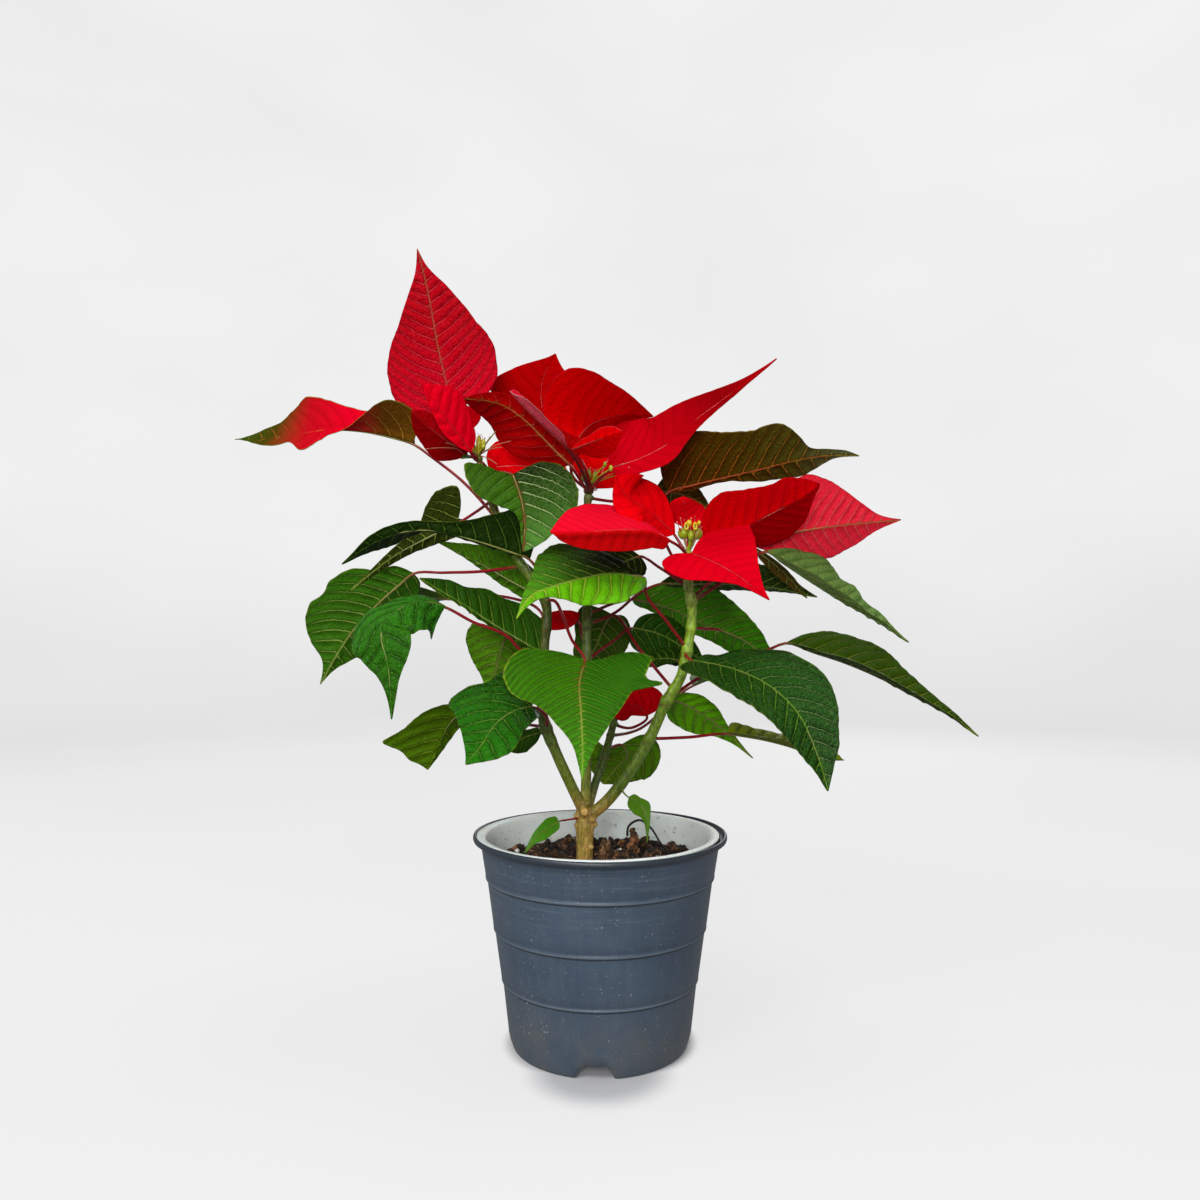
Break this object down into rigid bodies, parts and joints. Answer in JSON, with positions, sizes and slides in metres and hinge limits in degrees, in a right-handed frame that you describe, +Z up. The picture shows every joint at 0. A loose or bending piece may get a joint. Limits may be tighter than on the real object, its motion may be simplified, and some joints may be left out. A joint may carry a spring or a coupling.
{
  "type": "potted poinsettia",
  "caption": "Red-flowered poinsettia with broad green leaves in a slate blue nursery pot with a pale inner pot.",
  "frame": {"origin": "middle of the pot's underside, on the floor", "axes": "+Z up; +Y away from the viewer, -Y the front; +X to the viewer's right"},
  "size_m": [0.4473, 0.2487, 0.4791],
  "materials": {
    "pot": "slate blue moulded plastic, scuffed",
    "liner": "pale thin plastic",
    "soil": "peat and bark soil; fabric stands in for soil",
    "stem": "green stems on a woody trunk",
    "leaf": "satin green leaf; fabric stands in for leaf tissue",
    "bract": "velvety red bract; fabric stands in for leaf tissue",
    "cyathium": "yellow-green cups; fabric stands in for plant tissue"
  },
  "bodies": {
    "root": {"outer_pot": "pot", "inner_pot": "liner", "soil": "soil", "stem": "stem", "leaf_far_left": "leaf", "leaf_upper_left_back": "leaf", "leaf_upper_left_front": "leaf", "leaf_left_veined": "leaf", "leaf_left_mid": "leaf", "leaf_left_bright": "leaf", "leaf_left_inner": "leaf", "leaf_left_low_back": "leaf", "leaf_left_glossy": "leaf", "leaf_left_small": "leaf", "leaf_left_lowest": "leaf", "leaf_front": "leaf", "leaf_centre_bright": "leaf", "leaf_centre_top": "leaf", "leaf_mid_dark": "leaf", "leaf_right_pale": "leaf", "leaf_right_back": "leaf", "leaf_right_upper_dark": "leaf", "leaf_right_thin": "leaf", "leaf_right_dusty": "leaf", "leaf_right_long": "leaf", "leaf_right_glossy": "leaf", "leaf_small_dark": "leaf", "leaf_right_inner": "leaf", "leaf_right_low_pale": "leaf", "leaf_right_low_olive": "leaf", "leaf_low_back": "leaf", "leaf_top_right": "leaf", "leaf_top_back": "leaf", "leaf_behind_bract": "leaf", "sprout_left": "leaf", "sprout_right": "leaf", "leaf_back_left": "leaf", "leaf_back_low": "leaf", "leaf_back_right": "leaf", "leaf_back_centre": "leaf", "leaf_back_upper_left": "leaf", "low_bract_right": "bract", "low_bract_left": "bract", "bracts_left": "bract", "cyathia_left": "cyathium", "bracts_centre": "bract", "cyathia_centre": "cyathium", "bracts_right": "bract", "cyathia_right": "cyathium"}
  },
  "joints": []
}
